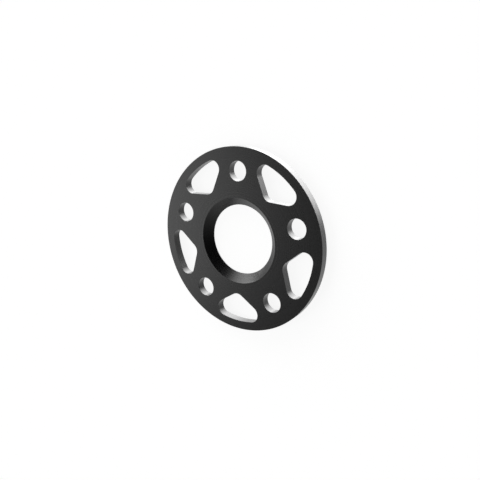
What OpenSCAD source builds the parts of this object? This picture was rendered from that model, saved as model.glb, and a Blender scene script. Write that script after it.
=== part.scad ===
// Wheel spacer: a flat ring bolted between a wheel hub and a road wheel.
// It lies on its back face. The bore runs along +Z and one bolt hole sits on +Y.
// Sizes are in millimetres.

/* [Disc] */
// Outside diameter
disc_d = 150; // [146:1:156]
// Thickness from clamping face to clamping face
disc_t = 7; // [5:0.5:10]
// Bevel on the edges of the rim and the bolt holes
edge_break = 0.1; // [0.1:0.1:0.8]

/* [Hub bore] */
// Diameter of the bore that fits over the hub spigot
bore_d = 57.1; // [54:0.1:63.4]
// Height of the plain land at the back of the bore, below its 45 degree bevel
land_h = 0.5; // [0.5:0.5:3]

/* [Bolt circle] */
// Number of bolt holes, with one window between each pair
bolt_count = 5; // [4:1:6]
// Pitch circle diameter
pitch_d = 112; // [108:0.5:114.5]
// Bolt hole diameter
bolt_d = 16; // [13:0.5:17]

/* [Windows] */
// Width of the rim outside the windows
rim_w = 7; // [5:0.5:9]
// Width of the metal between a window and a bolt hole
web_w = 8; // [6:0.5:10]
// Width of the ring between the bore and the windows
ring_w = 16; // [14:0.5:18]
// Radius of the three window corners
corner_r = 7; // [4:0.5:8]

/* [Hidden] */
$fn = 180;

// How far a cut runs past both faces
over = 1;
// How far a window's sides and outer wall sit inside its corner radii, to meet them in clean lines
corner_lap = 0.0005;
// Width of the bore's bevel, all of the thickness above the land
bevel_w = disc_t - land_h;
disc_r = disc_d / 2;
bore_r = bore_d / 2;
pitch_r = pitch_d / 2;
bolt_r = bolt_d / 2;
bolt_step = 360 / bolt_count;

// A window is drawn with its radial along +X and a bolt hole half a step to either side.
// Centre of the inner corner, on the radial
inner_x = bore_r + ring_w + corner_r;
// Circle that the centres of the two outer corners lie on
outer_r = disc_r - rim_w - corner_r;
// Nearest bolt hole as seen from the inner corner's centre
hole_x = pitch_r * cos(bolt_step / 2) - inner_x;
hole_y = pitch_r * sin(bolt_step / 2);
// Direction of the straight side, which passes the bolt hole at the width of the web
side_a = atan2(hole_y, hole_x) - asin((bolt_r + web_w + corner_r) / norm([hole_x, hole_y]));
// Length of the straight side, out to the outer corners' circle
side_l = sqrt(pow(outer_r, 2) - pow(inner_x * sin(side_a), 2)) - inner_x * cos(side_a);
// Angle of an outer corner's centre from the radial
corner_a = asin(side_l * sin(side_a) / outer_r);

// Solid ring with broken rim edges, and the bore's bevel above its plain land
module blank() {
    rotate_extrude()
        polygon([
            [bore_r, 0],
            [disc_r - edge_break, 0],
            [disc_r, edge_break],
            [disc_r, disc_t - edge_break],
            [disc_r - edge_break, disc_t],
            [bore_r + bevel_w, disc_t],
            [bore_r, land_h]
        ]);
}

// Bolt hole with both its edges broken
module bolt_hole() {
    rotate_extrude()
        polygon([
            [0, -over],
            [bolt_r + edge_break + over, -over],
            [bolt_r, edge_break],
            [bolt_r, disc_t - edge_break],
            [bolt_r + edge_break + over, disc_t + over],
            [0, disc_t + over]
        ]);
}

// Outline of a window: three rounded corners, two straight sides and a wall along the rim
module window_outline() {
    translate([inner_x, 0]) circle(corner_r);
    for (turn = [-corner_a, corner_a])
        rotate(turn) translate([outer_r, 0]) circle(corner_r);
    for (flip = [0, 1])
        mirror([0, flip])
            translate([inner_x, 0])
                rotate(side_a)
                    translate([0, -corner_r / 2]) square([side_l, 1.5 * corner_r - corner_lap]);
    intersection() {
        circle(outer_r + corner_r - corner_lap);
        polygon([
            [inner_x, 0],
            [outer_r * cos(corner_a), outer_r * sin(corner_a)],
            [disc_d * cos(corner_a), disc_d * sin(corner_a)],
            [disc_d * cos(corner_a), -disc_d * sin(corner_a)],
            [outer_r * cos(corner_a), -outer_r * sin(corner_a)]
        ]);
    }
}

module window() {
    translate([0, 0, -over])
        linear_extrude(disc_t + 2 * over) window_outline();
}

module spacer_disc() {
    color([0.06, 0.06, 0.065])
        difference() {
            blank();
            for (i = [0 : bolt_count - 1])
                rotate([0, 0, 90 + i * bolt_step]) {
                    translate([pitch_r, 0, 0]) bolt_hole();
                    rotate([0, 0, bolt_step / 2]) window();
                }
        }
}

spacer_disc();
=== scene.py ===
from math import cos, radians, sin

import bpy
from mathutils import Matrix, Vector


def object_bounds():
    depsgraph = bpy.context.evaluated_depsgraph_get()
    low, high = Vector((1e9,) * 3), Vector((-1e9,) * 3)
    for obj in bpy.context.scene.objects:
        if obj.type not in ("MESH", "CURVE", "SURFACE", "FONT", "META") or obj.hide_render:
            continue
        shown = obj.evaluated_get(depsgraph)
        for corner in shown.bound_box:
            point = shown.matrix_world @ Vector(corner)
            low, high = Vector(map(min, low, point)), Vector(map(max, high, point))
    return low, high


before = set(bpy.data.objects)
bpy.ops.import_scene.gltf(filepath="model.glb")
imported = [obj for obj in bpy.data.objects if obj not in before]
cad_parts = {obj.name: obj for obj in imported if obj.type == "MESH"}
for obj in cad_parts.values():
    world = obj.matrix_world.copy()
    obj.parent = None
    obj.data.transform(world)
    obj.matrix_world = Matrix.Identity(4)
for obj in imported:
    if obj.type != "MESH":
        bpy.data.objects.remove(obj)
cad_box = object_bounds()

scene = bpy.context.scene

MM = 0.001
WHITE = (1, 1, 1, 1)

# Camera, found from the edges of the disc in the photograph (metres, the frame's axes)
CAMERA_PLACE = Vector((0.23660, 0.11124, 0.34244))
CAMERA_RIGHT = Vector((0.8195, 0.0004, -0.5731))
CAMERA_UP = Vector((-0.1477, 0.9664, -0.2106))
# Lens and sensor width in millimetres, and the picture's width in pixels
CAMERA_LENS = 39.93
SENSOR_W = 36.0
PIXELS = 480
# How far the picture's middle lies right of and above the camera's axis, in pixels
SHIFT_PIXELS = (0.48, -1.27)

# Black anodised finish. Size of the features in each of its patterns:
MARK_SIZE = 0.45 * MM
PASS_SIZE = 1.3 * MM
GRAIN_SIZE = 0.22 * MM
MOTTLE_SIZE = 1.6 * MM
CLOUD_SIZE = 18 * MM
# Finer layers of noise in the patterns
DETAIL = 2.0
MOTTLE_DETAIL = 3.0
# Height of the patterns that stand out as bump
MARK_HEIGHT = 0.008 * MM
PASS_HEIGHT = 0.02 * MM
GRAIN_HEIGHT = 0.005 * MM
# Least roughness, and the most that each pattern adds to it
ROUGHNESS = 0.2
MOTTLE_ROUGHNESS = 0.06
CLOUD_ROUGHNESS = 0.04
PASS_ROUGHNESS = 0.08
# The two shades between which the colour drifts
DEEP_BLACK = (0.006, 0.006, 0.0063, 1)
PALE_BLACK = (0.010, 0.010, 0.0104, 1)
FINISH_IOR = 1.6
# Where the normal's Z is no more than this, the surface is the rim or a wall
WALL_SLOPE = 0.5

# Studio light by direction as seen from the disc, angles in degrees: a soft box is at full
# strength within core of its middle and fades to nothing over fade. The photograph shows the
# disc upright, so the soft boxes behind it there shine from below the floor here.
SOFT_BOXES = (
    # White end of the rim, and the light walls of the holes and windows
    dict(azimuth=90, elevation=-60, core=0, fade=40, strength=6.5),
    # Light side of the bevel
    dict(azimuth=126, elevation=-11, core=4, fade=45, strength=4.6),
    # Lighter left side of the face
    dict(azimuth=192, elevation=37, core=10, fade=12, strength=1.55),
    # Backdrop, for the dark end of the rim and the dark walls
    dict(azimuth=245, elevation=-79, core=34, fade=28, strength=0.95),
    # Walls seen at a flat angle
    dict(azimuth=170, elevation=-55, core=5, fade=20, strength=0.5),
    # Overhead, for views from above
    dict(azimuth=300, elevation=76, core=8, fade=20, strength=0.5),
    # Faint and low on the camera's side, for views from behind
    dict(azimuth=35, elevation=3, core=12, fade=22, strength=0.14),
)
# The rest of the room, which is dark on the camera's side and fades out below
ROOM_STRENGTH = 0.87
DARK_SIDE = dict(azimuth=58, elevation=60, core=22, fade=157)
# Elevations where the room is out and where it is full
ROOM_FOOT = (-43, -7)

# Gap that keeps the floor from flickering with the disc's back face
FLOOR_DROP = 0.05 * MM
FLOOR_HALF = 3.0
# Floor as the camera sees it from above: white, less a little where the disc shades it
FLOOR_GLOW = 0.89
FLOOR_ALBEDO = 0.32


def direction(azimuth, elevation):
    """Unit vector of a direction given in degrees."""
    turn, rise = radians(azimuth), radians(elevation)
    return cos(rise) * cos(turn), cos(rise) * sin(turn), sin(rise)


class Nodes:
    """Adds nodes to a node tree, with their inputs given by name or number as values or links."""

    def __init__(self, tree):
        self.tree = tree
        tree.nodes.clear()

    def add(self, kind, inputs=None, **settings):
        """One node of a kind. Returns its outputs."""
        node = self.tree.nodes.new("ShaderNode" + kind)
        for name, value in settings.items():
            setattr(node, name, value)
        for name, value in (inputs or {}).items():
            if isinstance(value, bpy.types.NodeSocket):
                self.tree.links.new(value, node.inputs[name])
            else:
                node.inputs[name].default_value = value
        return node.outputs

    def math(self, operation, *values):
        """One step of arithmetic."""
        return self.add("Math", dict(enumerate(values)), operation=operation)[0]

    def ramp(self, value, low, high, to_low=0.0, to_high=1.0):
        """Smooth step from to_low at low to to_high at high."""
        return self.add("MapRange", {0: value, 1: low, 2: high, 3: to_low, 4: to_high},
                        interpolation_type="SMOOTHSTEP")[0]

    def noise(self, place, size, detail=DETAIL):
        """Noise in space."""
        return self.add("TexNoise", {"Vector": place, "Scale": 1 / size, "Detail": detail})["Fac"]

    def lines(self, distance, size):
        """Noise along one distance only, which makes lines."""
        return self.add("TexNoise", {"W": distance, "Scale": 1 / size, "Detail": DETAIL},
                        noise_dimensions="1D")["Fac"]

    def bump(self, height, distance, **below):
        """Normal of a pattern that stands up to distance high, on the normal of the one below it."""
        return self.add("Bump", {"Height": height, "Distance": distance, **below})[0]


def new_material(name):
    """Material with an empty node tree, and the Nodes that fill it."""
    material = bpy.data.materials.new(name)
    material.use_nodes = True
    return material, Nodes(material.node_tree)


def black_anodised():
    """Turned and fine-blasted aluminium, anodised black: dark and satin, with faint tool marks."""
    material, nodes = new_material("black_anodised")
    place = nodes.add("TexCoord")["Object"]
    height = nodes.add("SeparateXYZ", {0: place})["Z"]
    flat = nodes.add("VectorMath", {0: place, 1: (1, 1, 0)}, operation="MULTIPLY")[0]
    radius = nodes.add("VectorMath", {0: flat}, operation="LENGTH")["Value"]

    # Tool marks run round the axis on the faces and the bevel, and level along the rim and the walls.
    slope = nodes.add("SeparateXYZ", {0: nodes.add("NewGeometry")["True Normal"]})["Z"]
    turned = nodes.math("GREATER_THAN", nodes.math("ABSOLUTE", slope), WALL_SLOPE)
    along = nodes.math("MULTIPLY_ADD", radius, turned, height)
    marks = nodes.lines(along, MARK_SIZE)
    passes = nodes.lines(along, PASS_SIZE)
    grain = nodes.noise(place, GRAIN_SIZE)
    mottle = nodes.noise(place, MOTTLE_SIZE, MOTTLE_DETAIL)
    cloud = nodes.noise(place, CLOUD_SIZE)

    rough = nodes.math("MULTIPLY_ADD", mottle, MOTTLE_ROUGHNESS, ROUGHNESS)
    rough = nodes.math("MULTIPLY_ADD", cloud, CLOUD_ROUGHNESS, rough)
    rough = nodes.math("MULTIPLY_ADD", passes, PASS_ROUGHNESS, rough)
    normal = nodes.bump(grain, GRAIN_HEIGHT)
    normal = nodes.bump(marks, MARK_HEIGHT, Normal=normal)
    normal = nodes.bump(passes, PASS_HEIGHT, Normal=normal)
    shades = {"Factor": cloud, "A": DEEP_BLACK, "B": PALE_BLACK}
    colour = nodes.add("Mix", shades, data_type="RGBA")["Result"]
    finish = {"Base Color": colour, "Roughness": rough, "Normal": normal, "IOR": FINISH_IOR}
    shader = nodes.add("BsdfPrincipled", finish)[0]
    nodes.add("OutputMaterial", {"Surface": shader})
    return material


def floor_white():
    """Seen only by a camera above it. Other rays go on to the studio, which lights the disc all round."""
    material, nodes = new_material("floor_white")
    glow = nodes.add("Emission", {"Color": WHITE, "Strength": FLOOR_GLOW})[0]
    shade = nodes.add("BsdfDiffuse", {"Color": (FLOOR_ALBEDO,) * 3 + (1,)})[0]
    floor = nodes.add("AddShader", {0: glow, 1: shade})[0]
    clear = nodes.add("BsdfTransparent")[0]
    above = nodes.math("SUBTRACT", 1.0, nodes.add("NewGeometry")["Backfacing"])
    seen = nodes.math("MULTIPLY", nodes.add("LightPath")["Is Camera Ray"], above)
    surface = nodes.add("MixShader", {0: seen, 1: clear, 2: floor})[0]
    nodes.add("OutputMaterial", {"Surface": surface})
    return material


def studio():
    """World of soft boxes in a room. The camera itself sees it white."""
    world = bpy.data.worlds.new("studio")
    world.use_nodes = True
    nodes = Nodes(world.node_tree)
    ray = nodes.add("TexCoord")["Generated"]

    def spot(azimuth, elevation, core, fade, strength, outside=0.0):
        """Strength within core of a direction, which turns to outside over fade."""
        turn = nodes.add("VectorMath", {0: ray, 1: direction(azimuth, elevation)}, operation="DOT_PRODUCT")
        return nodes.ramp(turn["Value"], cos(radians(core + fade)), cos(radians(core)), outside, strength)

    room = spot(**DARK_SIDE, strength=0.0, outside=ROOM_STRENGTH)
    height = nodes.add("SeparateXYZ", {0: ray})["Z"]
    foot = nodes.ramp(height, *(sin(radians(edge)) for edge in ROOM_FOOT))
    light = nodes.math("MULTIPLY", room, foot)
    for box in SOFT_BOXES:
        light = nodes.math("ADD", light, spot(**box))
    seen = nodes.add("LightPath")["Is Camera Ray"]
    strength = nodes.add("Mix", {"Factor": seen, "A": light, "B": 1.0}, data_type="FLOAT")["Result"]
    sky = nodes.add("Background", {"Color": WHITE, "Strength": strength})[0]
    nodes.add("OutputWorld", {"Surface": sky})
    return world


def add_floor():
    """Plain square floor just below the disc."""
    half, height = FLOOR_HALF, cad_box[0][2] - FLOOR_DROP
    corners = [(x * half, y * half, height) for x, y in ((-1, -1), (1, -1), (1, 1), (-1, 1))]
    mesh = bpy.data.meshes.new("floor")
    mesh.from_pydata(corners, [], [(0, 1, 2, 3)])
    mesh.materials.append(floor_white())
    floor = bpy.data.objects.new("floor", mesh)
    scene.collection.objects.link(floor)


def add_camera():
    """The photograph's camera."""
    data = bpy.data.cameras.new("camera")
    data.sensor_width = SENSOR_W
    data.lens = CAMERA_LENS
    data.shift_x, data.shift_y = (shift / PIXELS for shift in SHIFT_PIXELS)
    camera = bpy.data.objects.new("camera", data)
    scene.collection.objects.link(camera)
    back = CAMERA_RIGHT.cross(CAMERA_UP).normalized()
    right = CAMERA_RIGHT.normalized()
    up = back.cross(right)
    turn = Matrix((right, up, back)).transposed().to_4x4()
    camera.matrix_world = Matrix.Translation(CAMERA_PLACE) @ turn
    scene.camera = camera


scene.view_settings.view_transform = "Standard"

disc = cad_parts["spacer_disc"]
disc.data.materials.clear()
disc.data.materials.append(black_anodised())

add_floor()
scene.world = studio()
add_camera()
